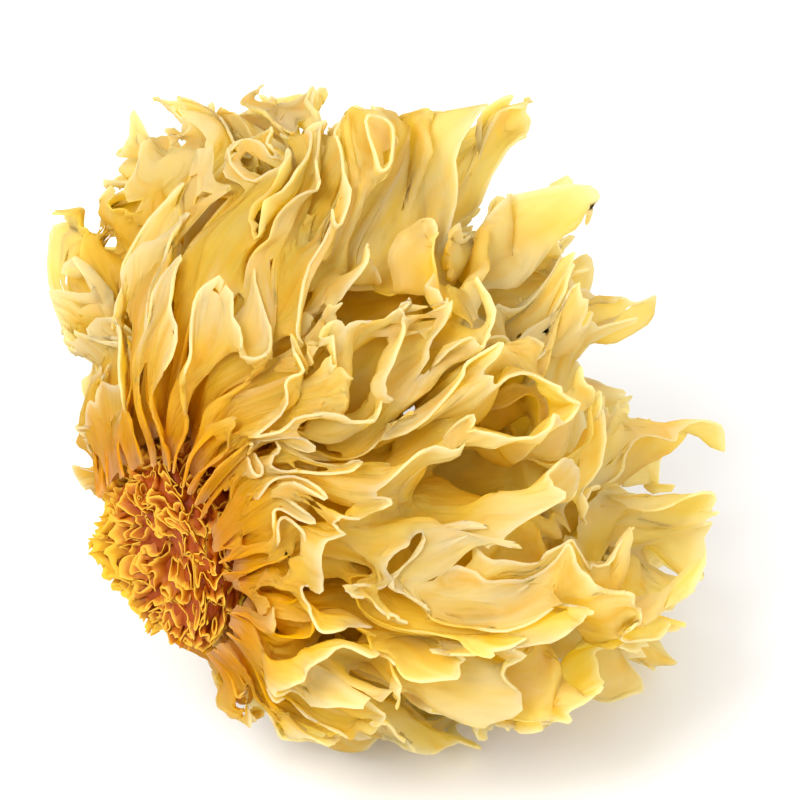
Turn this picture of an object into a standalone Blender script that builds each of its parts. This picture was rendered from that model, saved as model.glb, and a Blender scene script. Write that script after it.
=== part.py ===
"""A dried snow fungus, one whole head lying on its side, in metres with +Z up.

The head is a round bunch of ruffled fronds that all grow out of one hard base. Every frond is an
open sheet that starts on the base, widens and bends forward as it reaches out to the head's
outline, and folds from side to side in a meander that deepens towards its margin. The base is at
the front left and the fronds point away from it, to the right and back. The origin is under the
middle of the head, on the surface that it lies on.
"""

import math
from collections import namedtuple

import bmesh
import bpy
import numpy as np
from mathutils import Vector, noise

# The head's outline is an ellipsoid that lies at a slant: up at the back left, down at the front
# right. Places are measured from its centre until the whole head is set down on the floor.
HEAD_LONG_AXIS = (-0.707, 0.5, 0.5)
HEAD_LONG_RADIUS = 0.0475
HEAD_SHORT_RADIUS = 0.0350

# The base sits in the head's near left side. The growth axis runs from it through the head.
BASE_PLACE = np.array([-0.0270, -0.0210, 0.0020])
GROWTH_AXIS = (0.74, 0.66, -0.10)
BASE_RADIUS = 0.0095
BASE_FACE_DEPTH = 0.0034
BASE_RIDGES = 17
BASE_RIDGE_HEIGHT = 0.0009
BASE_ROWS = 12

FROND_THICKNESS = 0.0012
ROOT_GAP = 0.0012
FOLDS_DOWN = 5
FOLDS_ACROSS = 17
FINE_STEPS = 361

# A frond keeps this far from the border with the next one beside it, and fills this share of the
# room between its ring's borders.
SIDE_GAP = 0.0016
FILL_DEEP = 0.93
# A frond leaves the base at a wider angle than its tip has, and bends forward from there.
FORWARD_BEND = 0.34
# The borders between fronds wander and their margins are uneven, so that no two are alike.
RING_WOBBLE = math.radians(6)
SECTOR_WOBBLE = 0.16
LOBE_DEPTH = 0.05
LOBE_UNEVEN = 0.10
LOBES_PER_RADIAN = 7.0
SLOW_WANDER = 0.0085
SLOW_WANDER_SCALE = 0.030
QUICK_WANDER = 0.0009
QUICK_WANDER_SCALE = 0.009
BEND = 0.0050
BEND_SCALE = 0.014
BEND_GROWS_OVER = 0.030
WANDER_START = Vector((7.5, 6.1, 4.0))

# The head lies on its lowest margins, which are pressed flat by this much.
FLOOR_TRIM = 0.0035
FLOOR_SIDE = 0.2

# A ring of fronds has its tips between two angles from the growth axis, in degrees. Each of its
# fronds reaches out by its own share of the way to the head's outline.
Ring = namedtuple("Ring", "name inner outer turn waves swing reaches")
RINGS = (
    Ring("crown_frond", 9, 37, 20, 2.5, 100, (0.99, 0.97, 1.00)),
    Ring("inner_frond", 37, 75, 0, 2.0, 104, (1.02, 0.98, 0.97, 0.95, 1.05, 0.99)),
    Ring("outer_frond", 75, 113, 24, 2.0, 104, (0.92, 1.00, 1.00, 1.15, 1.05, 1.00, 1.00)),
    Ring("skirt_frond", 113, 148, 10, 2.0, 90, (0.90, 1.00, 0.90, 1.05, 1.00)),
)


def unit(vector):
    return np.array(vector) / np.linalg.norm(vector)


LONG = unit(HEAD_LONG_AXIS)
AXIS = unit(GROWTH_AXIS)
SIDE = unit(np.cross(AXIS, [0.0, 0.0, 1.0]))
RISE = np.cross(AXIS, SIDE)


def away(azimuth, polar):
    """Unit directions at these angles, in radians, about the growth axis."""
    round_axis = np.cos(azimuth)[..., None] * SIDE + np.sin(azimuth)[..., None] * RISE
    return np.cos(polar)[..., None] * AXIS + np.sin(polar)[..., None] * round_axis


def head_point(azimuth, polar):
    """The point of the head's outline at these angles about its centre."""
    direction = away(azimuth, polar)
    along = direction @ LONG
    stretch = along**2 / HEAD_LONG_RADIUS**2 + (1.0 - along**2) / HEAD_SHORT_RADIUS**2
    return direction / np.sqrt(stretch)[..., None]


def meander(swing, waves, phase):
    """A curve whose direction swings from side to side, in a box from -1 to 1 both ways."""
    along = np.linspace(-1.0, 1.0, FINE_STEPS)
    heading = swing * np.sin(math.pi * waves * along + phase)
    x = np.cumsum(np.cos(heading))
    y = np.cumsum(np.sin(heading))
    x -= (x.min() + x.max()) / 2
    y -= np.linspace(y[0], y[-1], FINE_STEPS)
    y -= (y.min() + y.max()) / 2
    return x / x.max(), y / x.max()


def drift(place, scale):
    """A smooth random step at a place, of about one unit each way."""
    here = place / scale
    return Vector([noise.noise(here + WANDER_START * (turn + 1)) for turn in range(3)])


def wander(points):
    """The same points moved a little by smooth noise, slow and quick, and bent further out."""
    moved = []
    for point in points:
        place = Vector(point)
        slow = drift(place, SLOW_WANDER_SCALE) * SLOW_WANDER
        quick = drift(place, QUICK_WANDER_SCALE) * QUICK_WANDER
        from_base = (place - Vector(BASE_PLACE)).length - BASE_RADIUS
        bend = drift(place, BEND_SCALE) * BEND * min(1.0, max(0.0, from_base / BEND_GROWS_OVER))
        moved.append(place + slow + quick + bend)
    return np.array(moved)


def ring_border(polar, azimuth):
    """The border between two rings, which waves as it goes round."""
    return math.radians(polar) + RING_WOBBLE * np.sin(3 * azimuth + polar)


def sector_border(ring, index):
    """The border between two fronds of a ring."""
    index = index % len(ring.reaches)
    uneven = SECTOR_WOBBLE * math.sin(2.4 * index + ring.outer)
    return math.radians(ring.turn) + (index + uneven) * 2 * math.pi / len(ring.reaches)


def narrowest(ring, out):
    """How far the innermost fold is from the growth axis, this share of the way out."""
    polar = (ring.inner + ring.outer) / 2 - FILL_DEEP * out * (ring.outer - ring.inner) / 2
    tip = head_point(np.zeros(1), np.radians([polar])) - BASE_PLACE
    place = grown(tip, out, np.zeros(1), 0.0)[0]
    return np.linalg.norm(place - (place @ AXIS) * AXIS)


def frond_points(ring, index):
    """The middle surface of one frond, row by row from its root to its margin."""
    left = sector_border(ring, index)
    right = sector_border(ring, index + 1)
    right += 2 * math.pi * (right < left)
    phase = 2.4 * index + ring.turn
    columns = np.linspace(0, FINE_STEPS - 1, FOLDS_ACROSS + 1).round().astype(int)
    rows = []
    for row in range(FOLDS_DOWN + 1):
        out = row / FOLDS_DOWN
        x, y = meander(math.radians(ring.swing) * out**0.7, ring.waves, phase)
        x, y = x[columns], y[columns]
        half_across = (right - left) / 2 - SIDE_GAP / narrowest(ring, out)
        azimuth = (left + right) / 2 + x * half_across
        inner = ring_border(ring.inner, azimuth)
        outer = ring_border(ring.outer, azimuth)
        width_to_depth = 2 * half_across * np.sin((inner + outer) / 2) / (outer - inner)
        deep = FILL_DEEP * np.tanh(y * width_to_depth / FILL_DEEP)
        tip = head_point(azimuth, (inner + outer + deep * (outer - inner)) / 2) - BASE_PLACE
        rows.append(BASE_PLACE + grown(tip * ring.reaches[index], out, x, phase))
    return np.concatenate(rows)


def unevenness(towards):
    """How much further than usual the margin reaches in these directions, about -1 to 1."""
    return np.array([noise.noise(Vector(one) * LOBES_PER_RADIAN + WANDER_START) for one in towards])


def grown(tip, out, x, phase):
    """Points this share of the way out to the tips, along paths that bend forward."""
    reach = np.linalg.norm(tip, axis=-1)
    forward = tip @ AXIS
    sideways = tip - forward[:, None] * AXIS
    spread = np.linalg.norm(sideways, axis=-1)
    angle = np.arctan2(spread, forward) * (1 + FORWARD_BEND * (1 - out) ** 2)
    angle = np.minimum(angle, math.radians(150))
    direction = np.cos(angle)[:, None] * AXIS + np.sin(angle)[:, None] * sideways / spread[:, None]
    lobes = 1 - 0.14 * np.abs(x) ** 3 + LOBE_DEPTH * np.sin(4 * x + 1.7 * phase)
    lobes = lobes + LOBE_UNEVEN * unevenness(tip / reach[:, None])
    start = BASE_RADIUS + ROOT_GAP
    end = np.maximum(reach * lobes, start + 0.006)
    return direction * (start + (end - start) * out)[:, None]


def base_points(vertices):
    """The hard base: round where the fronds leave it, blunt and ridged on its outer face."""
    places = []
    for vertex in vertices:
        sideways, rise, height = vertex.co
        spread = math.hypot(sideways, rise) / BASE_RADIUS
        if height < -BASE_FACE_DEPTH:
            ridge = BASE_RIDGE_HEIGHT * math.sin(BASE_RIDGES * math.atan2(rise, sideways))
            height = -BASE_FACE_DEPTH + (0.5 * (height + BASE_FACE_DEPTH) - ridge) * spread
        places.append(BASE_PLACE + sideways * SIDE + rise * RISE + height * AXIS)
    return np.array(places)


def plain_material(name, colour, roughness):
    material = bpy.data.materials.new(name)
    material.use_nodes = True
    shader = material.node_tree.nodes["Principled BSDF"]
    shader.inputs["Base Color"].default_value = (*colour, 1.0)
    shader.inputs["Roughness"].default_value = roughness
    shader.inputs["Metallic"].default_value = 0.0
    return material


def new_object(name, shape, collection):
    """An object made of a finished bmesh."""
    mesh = bpy.data.meshes.new(name)
    shape.to_mesh(mesh)
    shape.free()
    obj = bpy.data.objects.new(name, mesh)
    collection.objects.link(obj)
    return obj


def make_frond(ring, index, material, collection):
    """One ruffled frond: a sheet bent out of a flat grid, then given its thickness."""
    shape = bmesh.new()
    bmesh.ops.create_grid(shape, x_segments=FOLDS_ACROSS, y_segments=FOLDS_DOWN, size=1.0)
    for vertex, place in zip(shape.verts, wander(frond_points(ring, index))):
        vertex.co = place
    obj = new_object(f"{ring.name}_{index + 1}", shape, collection)
    obj.data.materials.append(material)
    obj.data.shade_smooth()
    skin = obj.modifiers.new("thickness", "SOLIDIFY")
    skin.thickness = FROND_THICKNESS
    skin.offset = 0.0
    return obj


def make_base(material, collection):
    shape = bmesh.new()
    bmesh.ops.create_uvsphere(
        shape, u_segments=2 * BASE_RIDGES, v_segments=BASE_ROWS, radius=BASE_RADIUS
    )
    for vertex, place in zip(shape.verts, wander(base_points(shape.verts))):
        vertex.co = place
    obj = new_object("base", shape, collection)
    obj.data.materials.append(material)
    obj.data.shade_smooth()
    return obj


def make_floor_cutter(collection):
    """A block under the surface that the head lies on."""
    shape = bmesh.new()
    bmesh.ops.create_cube(shape, size=FLOOR_SIDE)
    cutter = new_object("floor_cutter", shape, collection)
    cutter.location = (0.0, 0.0, -FLOOR_SIDE / 2)
    cutter.hide_render = True
    cutter.display_type = "WIRE"
    return cutter


def set_down(pieces, cutter):
    """Moves the head to stand centred over the origin, and presses its lowest margins flat."""
    bpy.context.view_layer.update()
    graph = bpy.context.evaluated_depsgraph_get()
    lows = []
    highs = []
    for piece in pieces:
        places = np.array([v.co for v in piece.evaluated_get(graph).data.vertices])
        lows.append(places.min(axis=0))
        highs.append(places.max(axis=0))
    low, high = np.min(lows, axis=0), np.max(highs, axis=0)
    shift = Vector((-(low[0] + high[0]) / 2, -(low[1] + high[1]) / 2, -low[2] - FLOOR_TRIM))
    for piece, piece_low in zip(pieces, lows):
        for vertex in piece.data.vertices:
            vertex.co += shift
        if piece_low[2] + shift.z < 0.0:
            cut = piece.modifiers.new("rest on floor", "BOOLEAN")
            cut.operation = "DIFFERENCE"
            cut.object = cutter


def main():
    for obj in list(bpy.data.objects):
        bpy.data.objects.remove(obj)
    head = bpy.data.collections.new("dried_snow_fungus")
    cutters = bpy.data.collections.new("cutters")
    bpy.context.scene.collection.children.link(head)
    bpy.context.scene.collection.children.link(cutters)
    frond_material = plain_material("frond_cream", (0.88, 0.68, 0.27), 0.55)
    base_material = plain_material("base_amber", (0.55, 0.24, 0.05), 0.7)
    pieces = [make_base(base_material, head)]
    for ring in RINGS:
        for index in range(len(ring.reaches)):
            pieces.append(make_frond(ring, index, frond_material, head))
    set_down(pieces, make_floor_cutter(cutters))


main()
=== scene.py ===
"""The looks of a dried snow fungus: thin ruffled see-through fronds on a crinkled amber base."""

import math
from collections import namedtuple

import bmesh
import bpy
import numpy as np
from mathutils import Matrix, Vector, noise


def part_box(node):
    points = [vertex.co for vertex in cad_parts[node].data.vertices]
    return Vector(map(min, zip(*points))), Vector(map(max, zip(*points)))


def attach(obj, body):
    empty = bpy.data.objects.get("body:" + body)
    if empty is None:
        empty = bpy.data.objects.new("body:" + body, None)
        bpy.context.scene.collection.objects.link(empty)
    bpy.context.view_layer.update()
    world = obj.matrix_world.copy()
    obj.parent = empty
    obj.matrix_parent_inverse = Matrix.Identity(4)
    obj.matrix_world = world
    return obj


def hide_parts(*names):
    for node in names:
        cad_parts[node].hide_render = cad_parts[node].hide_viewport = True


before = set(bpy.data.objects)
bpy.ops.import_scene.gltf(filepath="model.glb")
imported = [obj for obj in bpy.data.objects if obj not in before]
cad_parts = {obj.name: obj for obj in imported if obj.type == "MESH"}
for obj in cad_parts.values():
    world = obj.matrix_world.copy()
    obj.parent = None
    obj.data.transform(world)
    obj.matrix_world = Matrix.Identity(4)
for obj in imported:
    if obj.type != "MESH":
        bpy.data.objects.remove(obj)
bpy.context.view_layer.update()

# The growth of the head, as in the solids: an outline ellipsoid at a slant, a base in its near left
# side, and rings of fronds that bend forward on their way out. Metres, from the head's centre.
HEAD_LONG_AXIS = (-0.707, 0.5, 0.5)
HEAD_LONG_RADIUS = 0.0475
HEAD_SHORT_RADIUS = 0.0350
BASE_PLACE = np.array([-0.0270, -0.0210, 0.0020])
GROWTH_AXIS = (0.74, 0.66, -0.10)
BASE_RADIUS = 0.0095
BASE_FACE_DEPTH = 0.0034
BASE_RIDGES = 17
BASE_RIDGE_HEIGHT = 0.0009
BASE_ROWS = 12
ROOT_GAP = 0.0012
FORWARD_BEND = 0.34
WIDEST_ANGLE = math.radians(150)
SHORTEST_FROND = 0.006
RING_WOBBLE = math.radians(6)
RING_WAVES = 3
SECTOR_WOBBLE = 0.16
NEXT_PHASE = 2.4
SIDES_SHORTER = 0.14
LOBE_DEPTH = 0.05
LOBE_WAVES = 4
LOBE_PHASE = 1.7
LOBE_UNEVEN = 0.10
LOBES_PER_RADIAN = 7.0
SLOW_WANDER = 0.0085
SLOW_WANDER_SCALE = 0.030
QUICK_WANDER = 0.0009
QUICK_WANDER_SCALE = 0.009
BEND = 0.0050
BEND_SCALE = 0.014
BEND_GROWS_OVER = 0.030
WANDER_START = Vector((7.5, 6.1, 4.0))

# The noise's table of slopes, the numbers that pick from it, and its step from one axis to the next
# where points are moved by it.
SLOPES = 4096
SLOPE_KEYS = (73856093, 19349663, 83492791)
SWEEP_STEP = 3.3

Ring = namedtuple("Ring", "name inner outer turn waves swing reaches")
RINGS = (
    Ring("crown_frond", 9, 37, 20, 2.5, 100, (0.99, 0.97, 1.00)),
    Ring("inner_frond", 37, 75, 0, 2.0, 104, (1.02, 0.98, 0.97, 0.95, 1.05, 0.99)),
    Ring("outer_frond", 75, 113, 24, 2.0, 104, (0.92, 1.00, 1.00, 1.15, 1.05, 1.00, 1.00)),
    Ring("skirt_frond", 113, 148, 10, 2.0, 90, (0.90, 1.00, 0.90, 1.05, 1.00)),
)

# The margins of the fine sheets have notches too: their depth, how many to a radian, and a seed.
Notches = namedtuple("Notches", "depth per_radian seed")
WIDE_NOTCHES = Notches(0.09, 12, 6)
NARROW_NOTCHES = Notches(0.05, 27, 7)

# The grid that the fine sheets are found in, which is closer near the tips, the fewest quads that a
# sheet has, and how often its margin and its surface are smoothed.
ACROSS_STEP = 0.00095
OUT_STEP = 0.00118
OUT_CROWDING = 0.8
ROOM_FOR_LOBES = 1.1
FEWEST_CELLS = 8
SMALLEST_SHEET = 80
MARGIN_SMOOTHING = 3
SHEET_SMOOTHING = 2

# Half the thickness of a sheet, and of the bead along its margin, with the bead's width.
SHEET_HALF = 0.00013
MARGIN_HALF = 0.00019
MARGIN_BEAD = 0.0008
RIM_ROUNDING = 0.8
# A sheet whose points lie this far off the middle of their neighbours is pale along the fold.
FOLD_BEND = 0.00045
FOLD_BEGINS = 0.4
FOLD_PALENESS = 0.8
# Edges sharper than this are shaded sharp. A quad whose halves face each other, with a cosine below
# this one, is left out.
SHARP_FOLD = math.radians(55)
FOLDED_OVER = -0.75

# Seen from the base, the broad smooth fronds lie this way, and the others are more folded.
CALM_TOWARDS = np.array([0.99, -0.07, -0.09])

# Where the sheets of a frond run: along the zeros of a noise that is followed out from the base.
# Across the way out its scale is an angle seen from the base. Along the way out it is a length,
# which is short near the base and grows with the distance from it.
WALL_ANGLE = 0.150
WALL_CHANGE_AT_BASE = 0.0070
WALL_CHANGE_GROWTH = 0.10
WALL_SHIFT = np.array([0.75, -0.50, 0.43])
# Finer noises are added to it on the way out: how many times finer they are, how much they count,
# how much less where the fronds are calm, and the shares of the way out where they begin and end
# growing.
Finer = namedtuple("Finer", "times height calm_less begins full seed")
FINER_WALLS = Finer(2.1, 0.75, 0.40, 0.30, 0.9, 12)
FINEST_WALLS = Finer(4.3, 0.15, 0.0, 0.75, 1.0, 13)
CALM_BEGINS = 0.55
CALM_FULL = 0.95

# The sheets bend and curl at three scales, each one beginning further out than the last.
Ruffle = namedtuple("Ruffle", "scale height begins seed")
RUFFLES = (
    Ruffle(0.0095, 0.0034, 0.05, 21),
    Ruffle(0.0060, 0.0030, 0.25, 31),
    Ruffle(0.0036, 0.0014, 0.60, 41),
)

# Creases run along the way out: the angle between them, the length over which they change, their
# height for each metre from the base, and how sharp they are.
CREASE_ANGLE = 0.070
CREASE_CHANGE = 0.010
CREASE_HEIGHT = 0.0130
CREASE_SHARPNESS = 2.2

# The colours change with the distance from the base over this length, and in patches of these
# sizes, which are strongest deep inside the head.
NEAR_BASE = 0.006
WIDE_PATCHES = 0.009
NARROW_PATCHES = 0.004
NARROW_SHARE = 0.5
PATCHES_INSIDE = 0.9
PATCHES_ALL_OVER = 0.10
# The fibres of the sheets run along the way out: their width as an angle, and their length.
FIBRE_ANGLE = 0.02
FIBRE_LENGTH = 0.02

# The base's thin walls: how far round it they go, how tall they are and how deep they are rooted.
BASE_WALLS_REACH = math.radians(112)
BASE_WALL_HEIGHT = 0.0016
BASE_CORE_DEPTH = 0.0010
# They run along the zeros of a noise of this angle, with a finer one added, bent by a wider one.
BASE_WALL_ANGLE = 0.125
BASE_FINER_TIMES = 1.9
BASE_FINER_HEIGHT = 0.45
BASE_BEND_TIMES = 0.7
BASE_BEND_HEIGHT = 0.5
BASE_BEND_STEP = 9
# The grid that they are found in, and the fewest quads that a wall has.
BASE_WALL_CELLS = 112
BASE_WALL_LAYERS = 5
SMALLEST_BASE_WALL = 40
# They thin out by this share, and only their last bit has the colour of their margins.
BASE_WALL_THINS_BY = 0.6
BASE_MARGIN_POWER = 8
# Their height varies slowly and has notches, and their margins sway.
BASE_HILLS = 1.2
BASE_HILL_ANGLE = 0.30
BASE_NOTCH_DEPTH = 0.9
BASE_NOTCH_ANGLE = 0.11
BASE_SWAY = 0.0024
BASE_SWAY_SCALE = 0.0022
# On one side, given in the directions SIDE, RISE and AXIS, they are taller and yellow.
BASE_LIP_TOWARDS = np.array([-0.8, 0.6, 0.0])
BASE_LIP_BEGINS = 0.45
BASE_LIP_FULL = 0.90
# The core between them is crinkled, by a wide and a narrow noise.
CORE_AROUND = 120
CORE_UP = 70
CORE_CAP = 0.02
CORE_CRINKLE = 0.0011
CORE_WIDE_ANGLE = 0.25
CORE_NARROW_ANGLE = 0.11
CORE_NARROW_SHARE = 0.5
CORE_DEPTH_SHARE = 0.6

# The lowest margins lie on the floor and are pressed flat there, from this height down.
PRESSED_BELOW = 0.0025

# The view: the photograph's angle, brought close to the head. The image is 800 pixels wide, one
# pixel is this many metres at the head, and the head's centre lies at this pixel.
IMAGE_SIDE = 800
PIXEL = 0.000125
HEAD_PIXEL = (382, 422)
CAMERA_ELEVATION = math.radians(46)
CAMERA_DISTANCE = 0.75
CLIP_START = 0.01

# Colours by their screen values, 0 to 255: of a frond from its margin inwards, and of the base.
MARGIN_CREAM = (255, 250, 224)
TIP_CREAM = (254, 244, 186)
SHEET_CREAM = (253, 232, 112)
# The deep yellow is partly the fungus's own colour and partly painted glow: the yellowed light that
# gathers between the sheets deep inside the head.
INNER_YELLOW_AND_GLOW = (255, 214, 14)
STREAK_YELLOW = (251, 212, 70)
ROOT_ORANGE = (240, 158, 14)
GLOW_YELLOW = (255, 230, 56)
PIT_DARK = (150, 56, 0)
PIT_LIGHT = (206, 96, 2)
WALL_DARK = (190, 88, 2)
WALL_LIGHT = (244, 164, 12)
LIP_YELLOW = (253, 212, 40)
WALL_MARGIN = (253, 210, 70)

# How deep inside a frond the sheet's cream and the deep yellow, which is partly painted glow, begin
# and end taking over, where the noise of the fibres makes streaks, and how deep the base's pits begin.
SHALLOW = (0.0, 0.22)
INNER_YELLOW_AND_GLOW_DEPTHS = (0.20, 0.75)
STREAKS = (0.42, 0.80)
PITS = (0.15, 0.70)
GLOW_SHARE = 0.40
FIBRE_SCALE = 0.55
CLOUD_SCALE = 220.0

# The surfaces: their bumps, how rough and shiny they are, and the share of light let through.
Surface = namedtuple("Surface", "bump bump_height roughness shine through")
FROND_SURFACE = Surface(0.7, 0.0013, 0.38, 0.35, 0.72)
BASE_SURFACE = Surface(0.4, 0.0003, 0.5, 0.3, 0.35)

# A pale floor, an even sky and two soft lights, with enough bounces for light between the sheets.
FLOOR_HALF = 2.0
FLOOR_GREY = 0.9
FLOOR_ROUGHNESS = 0.9
SKY_STRENGTH = 1.0
BOUNCES = 6
Light = namedtuple("Light", "name place size power")
LIGHTS = (
    Light("key", (-0.5, -0.35, 0.9), 0.5, 8.5),
    Light("fill", (0.8, -0.5, 0.5), 0.6, 3.0),
)
LIGHT_TARGET = (0.0, 0.0, 0.03)


def unit(vector):
    return np.array(vector) / np.linalg.norm(vector)


LONG = unit(HEAD_LONG_AXIS)
AXIS = unit(GROWTH_AXIS)
SIDE = unit(np.cross(AXIS, [0.0, 0.0, 1.0]))
RISE = np.cross(AXIS, SIDE)
BASE_DIRECTIONS = np.stack([SIDE, RISE, AXIS])


def away(azimuth, polar):
    """Unit directions at these angles, in radians, about the growth axis."""
    round_axis = np.cos(azimuth)[..., None] * SIDE + np.sin(azimuth)[..., None] * RISE
    return np.cos(polar)[..., None] * AXIS + np.sin(polar)[..., None] * round_axis


def head_point(azimuth, polar):
    """The point of the head's outline at these angles about its centre."""
    direction = away(azimuth, polar)
    along = direction @ LONG
    stretch = along**2 / HEAD_LONG_RADIUS**2 + (1.0 - along**2) / HEAD_SHORT_RADIUS**2
    return direction / np.sqrt(stretch)[..., None]


def gradient_table(seed):
    """Slopes of length 1 in every direction."""
    random = np.random.default_rng(seed)
    table = random.normal(size=(SLOPES, 3))
    return table / np.linalg.norm(table, axis=1, keepdims=True)


def ripple(points, seed=1):
    """Smooth gradient noise, about -0.7 to 0.7, at an array of points with its grid at 1."""
    table = gradient_table(seed)
    cell = np.floor(points).astype(np.int64)
    inside = points - cell
    fade = inside**3 * (inside * (inside * 6 - 15) + 10)
    total = np.zeros(points.shape[:-1])
    for corner in np.ndindex(2, 2, 2):
        corner = np.array(corner)
        here = cell + corner
        first, second, third = [here[..., axis] * SLOPE_KEYS[axis] for axis in range(3)]
        slope = table[(first ^ second ^ third) % SLOPES]
        weight = np.prod(np.where(corner, fade, 1 - fade), axis=-1)
        total += weight * np.sum(slope * (inside - corner), axis=-1)
    return total


def drift(place, scale):
    here = place / scale
    return Vector([noise.noise(here + WANDER_START * (turn + 1)) for turn in range(3)])


def wander(points):
    """The same points moved a little by smooth noise, slow and quick, and bent further out."""
    moved = []
    for point in points:
        place = Vector(point)
        slow = drift(place, SLOW_WANDER_SCALE) * SLOW_WANDER
        quick = drift(place, QUICK_WANDER_SCALE) * QUICK_WANDER
        from_base = (place - Vector(BASE_PLACE)).length - BASE_RADIUS
        bend = drift(place, BEND_SCALE) * BEND * min(1.0, max(0.0, from_base / BEND_GROWS_OVER))
        moved.append(place + slow + quick + bend)
    return np.array(moved)


def ring_border(polar, azimuth):
    return math.radians(polar) + RING_WOBBLE * np.sin(RING_WAVES * azimuth + polar)


def sector_border(ring, index):
    index = index % len(ring.reaches)
    uneven = SECTOR_WOBBLE * math.sin(NEXT_PHASE * index + ring.outer)
    return math.radians(ring.turn) + (index + uneven) * 2 * math.pi / len(ring.reaches)


def unevenness(towards):
    """How much further than usual the margin reaches in these directions, about -1 to 1."""
    return np.array([noise.noise(Vector(one) * LOBES_PER_RADIAN + WANDER_START) for one in towards])


def grown(tip, out, lobes):
    """Points this share of the way out to the tips, along paths that bend forward."""
    reach = np.linalg.norm(tip, axis=-1)
    forward = tip @ AXIS
    sideways = tip - forward[:, None] * AXIS
    spread = np.linalg.norm(sideways, axis=-1)
    angle = np.arctan2(spread, forward) * (1 + FORWARD_BEND * (1 - out) ** 2)
    angle = np.minimum(angle, WIDEST_ANGLE)
    direction = np.cos(angle)[:, None] * AXIS + np.sin(angle)[:, None] * sideways / spread[:, None]
    start = BASE_RADIUS + ROOT_GAP
    end = np.maximum(reach * lobes, start + SHORTEST_FROND)
    return direction * (start + (end - start) * out)[:, None]


def smooth(value, low, high):
    share = np.clip((value - low) / (high - low), 0.0, 1.0)
    return share * share * (3 - 2 * share)


def frond_place(ring, index, x, y, out):
    """Points of a frond's room: x across and y deep, both -1 to 1, and out from 0 to 1.

    Gives the points, the directions of their tips from the base, and their distances from it."""
    left = sector_border(ring, index)
    right = sector_border(ring, index + 1)
    right += 2 * math.pi * (right < left)
    phase = NEXT_PHASE * index + ring.turn
    azimuth = (left + right) / 2 + x * (right - left) / 2
    inner = ring_border(ring.inner, azimuth)
    outer = ring_border(ring.outer, azimuth)
    tip = head_point(azimuth, (inner + outer + y * (outer - inner)) / 2) - BASE_PLACE
    towards = tip / np.linalg.norm(tip, axis=-1, keepdims=True)
    waves = np.sin(LOBE_WAVES * x + LOBE_PHASE * phase)
    lobes = 1 - SIDES_SHORTER * np.abs(x) ** 3 + LOBE_DEPTH * waves
    lobes = lobes + LOBE_UNEVEN * unevenness(towards)
    for notches in (WIDE_NOTCHES, NARROW_NOTCHES):
        lobes = lobes - notches.depth * np.abs(ripple(towards * notches.per_radian, notches.seed))
    place = grown(tip * ring.reaches[index], out, lobes)
    return place + BASE_PLACE, towards, np.linalg.norm(place, axis=-1)


def sheet_field(towards, length, out):
    """A noise whose zeros are the sheets. It changes slowly on the way out."""
    changes = np.log(1 + length * WALL_CHANGE_GROWTH / WALL_CHANGE_AT_BASE) / WALL_CHANGE_GROWTH
    where = towards / WALL_ANGLE + WALL_SHIFT * changes[..., None]
    calm = smooth(towards @ CALM_TOWARDS, CALM_BEGINS, CALM_FULL)
    value = ripple(where, seed=11)
    for finer in (FINER_WALLS, FINEST_WALLS):
        height = (finer.height - finer.calm_less * calm) * smooth(out, finer.begins, finer.full)
        value += height * ripple(where * finer.times, finer.seed)
    return value


def swept(points, scale, height, seed):
    """The points moved by smooth noise of this scale and height, in every direction."""
    push = [ripple(points / scale + SWEEP_STEP * axis, seed + axis) for axis in range(3)]
    return points + np.stack(push, axis=-1) * np.asarray(height)[..., None]


def surface_net(field):
    """The surface where a grid of values passes zero: points in grid units, and quads."""
    positive = field > 0
    size = np.array(field.shape) - 1
    total = np.zeros((*size, 3))
    count = np.zeros(size)
    crossings = []
    for axis in range(3):
        low = [slice(None)] * 3
        high = [slice(None)] * 3
        low[axis], high[axis] = slice(0, -1), slice(1, None)
        start, end = field[tuple(low)], field[tuple(high)]
        crossed = positive[tuple(low)] != positive[tuple(high)]
        share = np.where(crossed, start / np.where(crossed, start - end, 1.0), 0.0)
        place = np.stack(np.indices(start.shape), axis=-1).astype(float)
        place[..., axis] += share
        place *= crossed[..., None]
        others = [other for other in range(3) if other != axis]
        for corner in np.ndindex(2, 2):
            part = [slice(None)] * 3
            for other, shift in zip(others, corner):
                part[other] = slice(shift, shift + size[other])
            total += place[tuple(part)]
            count += crossed[tuple(part)]
        crossings.append((crossed, positive[tuple(low)]))
    filled = count > 0
    number = np.where(filled, np.cumsum(filled.ravel()).reshape(filled.shape) - 1, -1)
    points = total[filled] / count[filled][:, None]
    cell = np.argwhere(filled)
    points = np.where(cell == 0, 0.0, points)
    points = np.where(cell == size - 1, size, points)
    faces = []
    for axis, (crossed, inner_first) in enumerate(crossings):
        first, second = [(axis + 1) % 3, (axis + 2) % 3]
        edges = np.argwhere(crossed)
        keep = (edges[:, first] > 0) & (edges[:, first] < size[first])
        keep &= (edges[:, second] > 0) & (edges[:, second] < size[second])
        edges = edges[keep]
        flip = inner_first[tuple(edges.T)]
        corners = []
        for step_first, step_second in ((1, 1), (0, 1), (0, 0), (1, 0)):
            beside = edges.copy()
            beside[:, first] -= step_first
            beside[:, second] -= step_second
            corners.append(number[tuple(beside.T)])
        quads = np.stack(corners, axis=-1)
        quads[flip] = quads[flip][:, ::-1]
        faces.append(quads)
    return points, np.concatenate(faces)


def without_islands(points, quads, smallest):
    """The same surface without its loose bits of fewer quads than this."""
    parent = list(range(len(points)))

    def root(one):
        while parent[one] != one:
            parent[one] = parent[parent[one]]
            one = parent[one]
        return one

    for a, b, c, d in quads.tolist():
        top = root(a)
        for other in (b, c, d):
            parent[root(other)] = top
    group = np.array([root(one) for one in range(len(points))])
    faces_in = np.bincount(group[quads[:, 0]], minlength=len(points))
    quads = quads[faces_in[group[quads[:, 0]]] >= smallest]
    used = np.unique(quads)
    renumber = np.full(len(points), -1)
    renumber[used] = np.arange(len(used))
    return points[used], renumber[quads]


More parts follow.
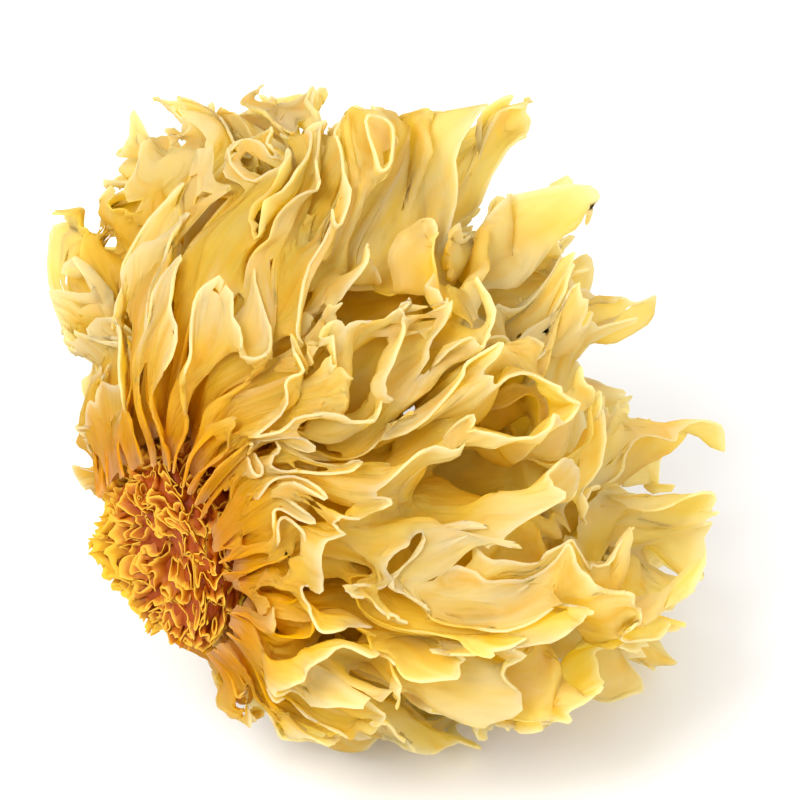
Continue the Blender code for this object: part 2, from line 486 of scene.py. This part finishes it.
def normals_of(points, quads):
    corner = points[quads]
    face = np.cross(corner[:, 2] - corner[:, 0], corner[:, 3] - corner[:, 1])
    normal = np.zeros_like(points)
    for number in range(4):
        np.add.at(normal, quads[:, number], face)
    return normal / (np.linalg.norm(normal, axis=1, keepdims=True) + 1e-15)


def folded_over(points, quads):
    """Which quads are folded back on themselves along a diagonal."""
    folded = np.zeros(len(quads), bool)
    for first in range(2):
        start, beside, opposite, other = [points[quads[:, (first + step) % 4]] for step in range(4)]
        one = np.cross(beside - start, opposite - start)
        two = np.cross(opposite - start, other - start)
        size = np.linalg.norm(one, axis=1) * np.linalg.norm(two, axis=1) + 1e-20
        folded |= np.einsum("ij,ij->i", one, two) / size < FOLDED_OVER
    return folded


def open_edges(points, quads):
    """The edges that only one quad has, as pairs of points."""
    edges = np.concatenate([quads[:, [0, 1]], quads[:, [1, 2]], quads[:, [2, 3]], quads[:, [3, 0]]])
    key = np.sort(edges, axis=1)
    key = key[:, 0] * len(points) + key[:, 1]
    _, first, times = np.unique(key, return_index=True, return_counts=True)
    return edges[first[times == 1]]


def smoothed_rim(points, quads, turns):
    """The points on the open edges drawn along those edges."""
    rim = open_edges(points, quads)
    count = np.zeros(len(points))
    np.add.at(count, rim.ravel(), 1)
    for _ in range(turns):
        total = np.zeros_like(points)
        np.add.at(total, rim[:, 0], points[rim[:, 1]])
        np.add.at(total, rim[:, 1], points[rim[:, 0]])
        mean = total / np.maximum(count, 1)[:, None]
        points = np.where((count == 2)[:, None], 0.5 * points + 0.5 * mean, points)
    return points


def mean_of_neighbours(values, quads):
    """At each point, the mean of the values at the points that share an edge with it."""
    total = np.zeros_like(values)
    count = np.zeros(len(values))
    for first, second in ((0, 1), (1, 2), (2, 3), (3, 0)):
        for one, other in ((first, second), (second, first)):
            np.add.at(total, quads[:, one], values[quads[:, other]])
            np.add.at(count, quads[:, one], 1)
    return total / np.maximum(count, 1).reshape(-1, *[1] * (values.ndim - 1))


def smoothed(points, quads, turns, held):
    """The points drawn towards their neighbours, apart from those that are held."""
    for _ in range(turns):
        mean = mean_of_neighbours(points, quads)
        points = np.where(held[:, None], points, 0.5 * points + 0.5 * mean)
    return points


def shell_mesh(name, points, quads, half, growth, flow=None):
    """A closed thin shell about an open surface, with a rounded edge all round."""
    normal = normals_of(points, quads)
    rim = open_edges(points, quads)
    outward = np.zeros_like(points)
    along = points[rim[:, 1]] - points[rim[:, 0]]
    for side in range(2):
        np.add.at(outward, rim[:, side], np.cross(along, normal[rim[:, side]]))
    outward /= np.linalg.norm(outward, axis=1, keepdims=True) + 1e-15
    rim_points = np.unique(rim)
    number = np.full(len(points), -1)
    number[rim_points] = np.arange(len(rim_points)) + 2 * len(points)
    behind = len(points)
    a, b = rim[:, 0], rim[:, 1]
    faces = [
        quads,
        quads[:, ::-1] + behind,
        np.stack([b, a, number[a], number[b]], axis=-1),
        np.stack([number[b], number[a], a + behind, b + behind], axis=-1),
    ]
    thick = half[:, None]
    rounded = points + outward * thick * RIM_ROUNDING
    everything = np.concatenate(
        [points + normal * thick, points - normal * thick, rounded[rim_points]]
    )
    growth = np.concatenate([growth, growth, growth[rim_points]])
    if flow is not None:
        flow = np.concatenate([flow, flow, flow[rim_points]])
    return new_mesh(name, everything, np.concatenate(faces), growth, flow)


def new_mesh(name, points, faces, growth, flow=None):
    """An object of these quads. Its material reads growth as a colour, and flow as a place.

    In growth, red is how near a margin or fold a point is, green is how deep inside the head or the
    base it is, and blue is how near the base it is, or on the base how near its yellow side."""
    mesh = bpy.data.meshes.new(name)
    mesh.vertices.add(len(points))
    mesh.vertices.foreach_set("co", points.astype(np.float32).ravel())
    mesh.loops.add(faces.size)
    mesh.loops.foreach_set("vertex_index", faces.astype(np.int32).ravel())
    mesh.polygons.add(len(faces))
    starts = np.arange(len(faces)) * faces.shape[1]
    mesh.polygons.foreach_set("loop_start", starts.astype(np.int32))
    mesh.update(calc_edges=True)
    mesh.validate()
    tint = mesh.color_attributes.new("growth", "FLOAT_COLOR", "POINT")
    tint.data.foreach_set("color", growth.astype(np.float32).ravel())
    if flow is not None:
        stream = mesh.attributes.new("flow", "FLOAT_VECTOR", "POINT")
        stream.data.foreach_set("vector", flow.astype(np.float32).ravel())
    mesh.shade_smooth()
    mesh.set_sharp_from_angle(angle=SHARP_FOLD)
    obj = bpy.data.objects.new(name, mesh)
    bpy.context.scene.collection.objects.link(obj)
    return obj


def set_down(place):
    """The points moved to the floor's frame, with those near or below the floor pressed above it."""
    place = place + HEAD_SHIFT
    low = place[:, 2] < PRESSED_BELOW
    place[low, 2] = PRESSED_BELOW * np.exp(place[low, 2] / PRESSED_BELOW - 1)
    return place


def base_place(sideways, rise, height, ridge):
    """A point of the base: a ball, pressed to a shallow face on the side away from the fronds."""
    spread = np.hypot(sideways, rise) / BASE_RADIUS
    pressed = -BASE_FACE_DEPTH + (0.5 * (height + BASE_FACE_DEPTH) - ridge) * spread
    height = np.where(height < -BASE_FACE_DEPTH, pressed, height)
    return BASE_PLACE + sideways[:, None] * SIDE + rise[:, None] * RISE + height[:, None] * AXIS


def head_shift():
    """Where the head's centre is, worked out from where the base's solid lies."""
    shape = bmesh.new()
    bmesh.ops.create_uvsphere(
        shape, u_segments=2 * BASE_RIDGES, v_segments=BASE_ROWS, radius=BASE_RADIUS
    )
    sideways, rise, height = np.array([vertex.co for vertex in shape.verts]).T
    shape.free()
    ridge = BASE_RIDGE_HEIGHT * np.sin(BASE_RIDGES * np.arctan2(rise, sideways))
    places = wander(base_place(sideways, rise, height, ridge))
    low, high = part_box("base")
    return (np.array(low) + np.array(high)) / 2 - (places.min(axis=0) + places.max(axis=0)) / 2


HEAD_SHIFT = head_shift()


def make_frond(ring, index, material):
    """The thin sheets of one frond, in the room that its solid has too."""
    name = f"{ring.name}_{index + 1}"
    corners = np.array([-1.0, 1.0])
    _, _, reach = frond_place(ring, index, corners * 0, corners * 0, np.array([0.0, 1.0]))
    side, _, _ = frond_place(ring, index, corners, corners * 0, np.ones(2))
    deep, _, _ = frond_place(ring, index, corners * 0, corners, np.ones(2))
    wide = np.linalg.norm(side[1] - side[0]) * ROOM_FOR_LOBES
    thick = np.linalg.norm(deep[1] - deep[0]) * ROOM_FOR_LOBES
    across = max(FEWEST_CELLS, int(wide / ACROSS_STEP))
    down = max(FEWEST_CELLS, int(thick / ACROSS_STEP))
    layers = max(FEWEST_CELLS, int((reach[1] - reach[0]) / OUT_STEP))
    grid = np.meshgrid(
        np.linspace(-1, 1, across + 1),
        np.linspace(-1, 1, down + 1),
        np.linspace(0, 1, layers + 1) ** OUT_CROWDING,
        indexing="ij",
    )
    x, y, out = [part.ravel() for part in grid]
    _, towards, length = frond_place(ring, index, x, y, out)
    field = sheet_field(towards, length, out).reshape(grid[0].shape)
    points, quads = surface_net(field)
    size = np.array([across, down, layers])
    in_side = ((points[quads] == 0).all(axis=1) | (points[quads] == size).all(axis=1)).any(axis=1)
    points, quads = without_islands(points, quads[~in_side], SMALLEST_SHEET)
    edge = ((points == 0) | (points == size)).any(axis=1)
    points = smoothed_rim(points, quads, MARGIN_SMOOTHING)
    points = smoothed(points, quads, SHEET_SMOOTHING, edge)
    share = points / size
    x, y, out = share[:, 0] * 2 - 1, share[:, 1] * 2 - 1, share[:, 2] ** OUT_CROWDING
    place, _, length = frond_place(ring, index, x, y, out)
    for ruffle in RUFFLES:
        height = ruffle.height * smooth(out, ruffle.begins, 1.0)
        place = swept(place, ruffle.scale, height, ruffle.seed)
    _, towards, _ = frond_place(ring, index, x, y, np.ones_like(out))
    where = towards / CREASE_ANGLE + WALL_SHIFT * (length / CREASE_CHANGE)[:, None]
    crease = 1 - CREASE_SHARPNESS * np.abs(ripple(where, seed=51))
    place = place + normals_of(place, quads) * (CREASE_HEIGHT * length * crease)[:, None]
    place = smoothed(place, quads, 1, np.zeros(len(place), bool))
    place = set_down(wander(place))
    quads = quads[~folded_over(place, quads)]
    fold = np.linalg.norm(mean_of_neighbours(place, quads) - place, axis=1)
    fold = mean_of_neighbours(np.clip(fold / FOLD_BEND - FOLD_BEGINS, 0, 1), quads)
    to_margin = (1 - out) * reach[1]
    bead = np.exp(-to_margin / MARGIN_BEAD)
    half = SHEET_HALF + (MARGIN_HALF - SHEET_HALF) * bead
    near_base = np.exp(-np.maximum(length - BASE_RADIUS, 0) / NEAR_BASE)
    patchy = ripple(place / WIDE_PATCHES, seed=71)
    patchy = patchy + NARROW_SHARE * ripple(place / NARROW_PATCHES, seed=72)
    # How deep inside the head a point is. The material paints it yellower there, partly as the
    # fungus's own colour and partly as painted glow.
    inside = (1 - out) * (1 + PATCHES_INSIDE * patchy) + PATCHES_ALL_OVER * patchy
    inside = np.clip(inside, 0, 1)
    pale = np.maximum(bead, FOLD_PALENESS * fold)
    growth = np.stack([pale, inside, near_base, np.ones_like(out)], axis=-1)
    flow = towards / FIBRE_ANGLE + WALL_SHIFT * (length / FIBRE_LENGTH)[:, None]
    obj = shell_mesh(f"{name}_sheet", place, quads, half, growth, flow)
    obj.data.materials.append(material)
    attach(obj, "root")
    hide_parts(name)


def base_surface(across, down):
    """Points of the base's smooth surface, and the directions to them from its middle.

    The two shares run from -1 to 1 across the side away from the fronds, and round it."""
    from_middle = np.hypot(across, down)
    polar = math.pi - from_middle * BASE_WALLS_REACH
    spread = BASE_RADIUS * np.sin(polar) / np.maximum(from_middle, 1e-9)
    height = BASE_RADIUS * np.cos(polar)
    place = base_place(spread * across, spread * down, height, 0 * height)
    direction = np.stack([np.sin(polar) * across, np.sin(polar) * down], axis=-1)
    direction = direction / np.maximum(from_middle, 1e-9)[:, None]
    return place, np.concatenate([direction, np.cos(polar)[:, None]], axis=-1)


def make_base_walls(material):
    """The thin crinkled walls that cover the base, of the same growth as the fronds but finer."""
    grid = np.meshgrid(
        np.linspace(-1, 1, BASE_WALL_CELLS + 1),
        np.linspace(-1, 1, BASE_WALL_CELLS + 1),
        np.linspace(0, 1, BASE_WALL_LAYERS + 1),
        indexing="ij",
    )
    across, down, out = [part.ravel() for part in grid]
    _, direction = base_surface(across, down)
    field = base_wall_field(direction, out).reshape(grid[0].shape)
    points, quads = surface_net(field)
    share = points / np.array([BASE_WALL_CELLS, BASE_WALL_CELLS, BASE_WALL_LAYERS])
    middle = share[quads].mean(axis=1) * 2 - 1
    layer = share[quads][..., 2]
    in_side = (layer == 0).all(axis=1) | (layer == 1).all(axis=1)
    quads = quads[(np.hypot(middle[:, 0], middle[:, 1]) < 1) & ~in_side]
    share, quads = without_islands(share, quads, SMALLEST_BASE_WALL)
    across, down, out = share[:, 0] * 2 - 1, share[:, 1] * 2 - 1, share[:, 2]
    place, direction = base_surface(across, down)
    outward = direction @ BASE_DIRECTIONS
    lip = smooth(direction @ BASE_LIP_TOWARDS, BASE_LIP_BEGINS, BASE_LIP_FULL)
    hills = 1 + BASE_HILLS * ripple(direction / BASE_HILL_ANGLE, seed=83)
    notches = 1 - BASE_NOTCH_DEPTH * np.abs(ripple(direction / BASE_NOTCH_ANGLE, seed=84))
    height = BASE_WALL_HEIGHT * hills * (1 + lip) * notches
    place = place + outward * (height * out - BASE_CORE_DEPTH)[:, None]
    place = swept(place, BASE_SWAY_SCALE, BASE_SWAY * out, seed=85)
    place = set_down(wander(smoothed(place, quads, 1, np.zeros(len(place), bool))))
    half = SHEET_HALF * (1 - BASE_WALL_THINS_BY * out)
    margin = out**BASE_MARGIN_POWER
    growth = np.stack([margin, 1 - out, lip, np.ones_like(out)], axis=-1)
    obj = shell_mesh("base_walls", place, quads, half, growth)
    obj.data.materials.append(material)
    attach(obj, "root")
    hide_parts("base")


def base_wall_field(direction, out):
    """A noise whose zeros are the base's walls, themselves bent by a slower noise."""
    where = direction / BASE_WALL_ANGLE
    wide = where * BASE_BEND_TIMES
    bent = [ripple(wide + BASE_BEND_STEP * turn, seed=86 + turn) for turn in range(3)]
    where = where + BASE_BEND_HEIGHT * np.stack(bent, axis=-1)
    shift = WALL_SHIFT * out[:, None]
    finer = ripple(where * BASE_FINER_TIMES + shift * 2, seed=82)
    return ripple(where + shift, seed=81) + BASE_FINER_HEIGHT * finer


def make_base_core(material):
    """The core of the base, which shows at the bottom of the pits between its walls."""
    turn = np.linspace(0, 2 * math.pi, CORE_AROUND, endpoint=False)
    polar = np.linspace(CORE_CAP, math.pi - CORE_CAP, CORE_UP)
    turn, polar = [part.ravel() for part in np.meshgrid(turn, polar, indexing="ij")]
    sideways = BASE_RADIUS * np.sin(polar) * np.cos(turn)
    rise = BASE_RADIUS * np.sin(polar) * np.sin(turn)
    height = BASE_RADIUS * np.cos(polar)
    direction = np.stack([sideways, rise, height], axis=-1) / BASE_RADIUS
    crinkle = ripple(direction / CORE_WIDE_ANGLE, seed=64)
    crinkle = crinkle + CORE_NARROW_SHARE * ripple(direction / CORE_NARROW_ANGLE, seed=65)
    number = np.arange(CORE_AROUND * CORE_UP).reshape(CORE_AROUND, CORE_UP)
    following = np.roll(number, -1, axis=0)
    quads = np.stack(
        [number[:, :-1], number[:, 1:], following[:, 1:], following[:, :-1]], axis=-1
    ).reshape(-1, 4)
    outward = direction @ BASE_DIRECTIONS
    place = base_place(sideways, rise, height, 0 * height)
    height = CORE_CRINKLE * crinkle - CORE_DEPTH_SHARE * BASE_CORE_DEPTH
    place = place + outward * height[:, None]
    growth = np.tile([0.0, 1.0, 0.0, 1.0], (len(place), 1))
    obj = new_mesh("base_core", set_down(wander(place)), quads, growth)
    shape = bmesh.new()
    shape.from_mesh(obj.data)
    shape.verts.ensure_lookup_table()
    for cap in (number[:, 0], number[:, -1]):
        shape.faces.new([shape.verts[one] for one in cap]).smooth = True
    bmesh.ops.recalc_face_normals(shape, faces=shape.faces)
    shape.to_mesh(obj.data)
    shape.free()
    obj.data.materials.append(material)
    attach(obj, "root")
    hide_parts("base")


def node(tree, kind, place, **inputs):
    """A shader node at a place in the editor, with the values of its inputs."""
    made = tree.nodes.new(kind)
    made.location = place
    for name, value in inputs.items():
        made.inputs[name.replace("_", " ")].default_value = value
    return made


def mix_colour(tree, share, first, second):
    """The mix of two colours. Each argument is a value or another node's output."""
    mixer = tree.nodes.new("ShaderNodeMix")
    mixer.data_type = "RGBA"
    for socket, value in ((0, share), (6, first), (7, second)):
        if hasattr(value, "is_output"):
            tree.links.new(value, mixer.inputs[socket])
        else:
            mixer.inputs[socket].default_value = value
    return mixer.outputs[2]


def linear(screen_values):
    """A colour for a shader, from its screen values, 0 to 255."""
    return (*[(value / 255) ** 2.2 for value in screen_values], 1.0)


def link(tree, source, target):
    tree.links.new(source, target)


def new_material(name):
    """A material, its node tree, and the three parts of growth in it."""
    material = bpy.data.materials.new(name)
    material.use_nodes = True
    tree = material.node_tree
    tree.nodes.clear()
    growth = node(tree, "ShaderNodeAttribute", (-900, 0))
    growth.attribute_name = "growth"
    parts = node(tree, "ShaderNodeSeparateColor", (-700, 0))
    link(tree, growth.outputs["Color"], parts.inputs["Color"])
    return material, tree, parts.outputs


def between(tree, place, value, limits):
    """How far a value is on its way between two limits, from 0 to 1."""
    made = node(tree, "ShaderNodeMapRange", place, From_Min=limits[0], From_Max=limits[1])
    link(tree, value, made.inputs["Value"])
    return made.outputs[0]


def finish_surface(tree, surface, body, through_colour, height):
    """Ends a tree with a surface that reflects with one colour and lets light through with another."""
    bump = node(
        tree, "ShaderNodeBump", (0, -500), Strength=surface.bump, Distance=surface.bump_height
    )
    link(tree, height, bump.inputs["Height"])
    principled = node(tree, "ShaderNodeBsdfPrincipled", (200, 0), Roughness=surface.roughness)
    principled.inputs["Specular IOR Level"].default_value = surface.shine
    through = node(tree, "ShaderNodeBsdfTranslucent", (200, -300))
    link(tree, body, principled.inputs["Base Color"])
    link(tree, through_colour, through.inputs["Color"])
    link(tree, bump.outputs["Normal"], principled.inputs["Normal"])
    mixer = node(tree, "ShaderNodeMixShader", (600, 0))
    mixer.inputs[0].default_value = surface.through
    link(tree, principled.outputs[0], mixer.inputs[1])
    link(tree, through.outputs[0], mixer.inputs[2])
    output = node(tree, "ShaderNodeOutputMaterial", (900, 0))
    link(tree, mixer.outputs[0], output.inputs["Surface"])


def frond_material():
    """Waxy cream that lets much of the light through, yellower inwards partly in its own colour and
    partly in painted glow, with streaks of fibres.
    """
    material, tree, (rim, inside, near_base) = new_material("frond_cream")
    flow = node(tree, "ShaderNodeAttribute", (-900, -400))
    flow.attribute_name = "flow"
    fibre = node(tree, "ShaderNodeTexNoise", (-600, -400), Scale=FIBRE_SCALE, Detail=2.0)
    link(tree, flow.outputs["Vector"], fibre.inputs["Vector"])
    shallow = between(tree, (-500, 300), inside, SHALLOW)
    deep = between(tree, (-500, 500), inside, INNER_YELLOW_AND_GLOW_DEPTHS)
    streak = between(tree, (-300, -400), fibre.outputs["Fac"], STREAKS)
    body = mix_colour(tree, shallow, linear(TIP_CREAM), linear(SHEET_CREAM))
    # Deep inside the head the colour turns a deep yellow: partly the fungus's own, partly painted glow
    # of light gathered between the sheets.
    body = mix_colour(tree, deep, body, linear(INNER_YELLOW_AND_GLOW))
    body = mix_colour(tree, streak, body, linear(STREAK_YELLOW))
    body = mix_colour(tree, near_base, body, linear(ROOT_ORANGE))
    body = mix_colour(tree, rim, body, linear(MARGIN_CREAM))
    glow = mix_colour(tree, GLOW_SHARE, body, linear(GLOW_YELLOW))
    finish_surface(tree, FROND_SURFACE, body, glow, fibre.outputs["Fac"])
    return material


def base_material():
    """Amber walls with yellow margins over red-brown pits."""
    material, tree, (rim, inside, lip) = new_material("base_amber")
    place = node(tree, "ShaderNodeTexCoord", (-900, -300))
    cloud = node(tree, "ShaderNodeTexNoise", (-700, -300), Scale=CLOUD_SCALE, Detail=2.0)
    link(tree, place.outputs["Object"], cloud.inputs["Vector"])
    pit = mix_colour(tree, cloud.outputs["Fac"], linear(PIT_DARK), linear(PIT_LIGHT))
    wall = mix_colour(tree, cloud.outputs["Fac"], linear(WALL_DARK), linear(WALL_LIGHT))
    wall = mix_colour(tree, lip, wall, linear(LIP_YELLOW))
    body = mix_colour(tree, between(tree, (-500, 200), inside, PITS), wall, pit)
    body = mix_colour(tree, rim, body, linear(WALL_MARGIN))
    finish_surface(tree, BASE_SURFACE, body, body, cloud.outputs["Fac"])
    return material


def floor_material():
    """Plain pale grey."""
    material = bpy.data.materials.new("floor_pale")
    material.use_nodes = True
    shader = material.node_tree.nodes["Principled BSDF"]
    shader.inputs["Base Color"].default_value = (FLOOR_GREY, FLOOR_GREY, FLOOR_GREY, 1.0)
    shader.inputs["Roughness"].default_value = FLOOR_ROUGHNESS
    return material


def make_floor():
    shape = bmesh.new()
    bmesh.ops.create_grid(shape, x_segments=1, y_segments=1, size=FLOOR_HALF)
    mesh = bpy.data.meshes.new("floor")
    shape.to_mesh(mesh)
    shape.free()
    floor = bpy.data.objects.new("floor", mesh)
    floor.data.materials.append(floor_material())
    bpy.context.scene.collection.objects.link(floor)


def aim(obj, place, target):
    """Puts a camera or light at a place, pointing at a target."""
    forward = (Vector(target) - Vector(place)).normalized()
    turned = forward.to_track_quat("-Z", "Y").to_matrix().to_4x4()
    obj.matrix_world = Matrix.Translation(place) @ turned


def make_camera():
    data = bpy.data.cameras.new("camera")
    camera = bpy.data.objects.new("camera", data)
    bpy.context.scene.collection.objects.link(camera)
    right = np.array([1.0, 0.0, 0.0])
    up = np.array([0.0, math.sin(CAMERA_ELEVATION), math.cos(CAMERA_ELEVATION)])
    towards = np.array([0.0, -math.cos(CAMERA_ELEVATION), math.sin(CAMERA_ELEVATION)])
    half = IMAGE_SIDE / 2
    aside, above = half - HEAD_PIXEL[0], HEAD_PIXEL[1] - half
    target = HEAD_SHIFT + aside * PIXEL * right + above * PIXEL * up
    aim(camera, target + towards * CAMERA_DISTANCE, target)
    data.sensor_fit = "HORIZONTAL"
    data.angle = 2 * math.atan(half * PIXEL / CAMERA_DISTANCE)
    data.clip_start = CLIP_START
    bpy.context.scene.camera = camera


def make_light():
    world = bpy.data.worlds.new("studio")
    bpy.context.scene.world = world
    world.use_nodes = True
    sky = world.node_tree.nodes["Background"]
    sky.inputs["Color"].default_value = (1.0, 1.0, 1.0, 1.0)
    sky.inputs["Strength"].default_value = SKY_STRENGTH
    for light in LIGHTS:
        data = bpy.data.lights.new(light.name, "AREA")
        data.size = light.size
        data.energy = light.power
        lamp = bpy.data.objects.new(light.name, data)
        bpy.context.scene.collection.objects.link(lamp)
        aim(lamp, light.place, LIGHT_TARGET)
    bpy.context.scene.cycles.max_bounces = BOUNCES
    bpy.context.scene.cycles.transmission_bounces = BOUNCES
    bpy.context.scene.view_settings.view_transform = "Standard"


make_camera()
cream = frond_material()
amber = base_material()
make_base_core(amber)
make_base_walls(amber)
for ring in RINGS:
    for index in range(len(ring.reaches)):
        make_frond(ring, index, cream)
make_floor()
make_light()
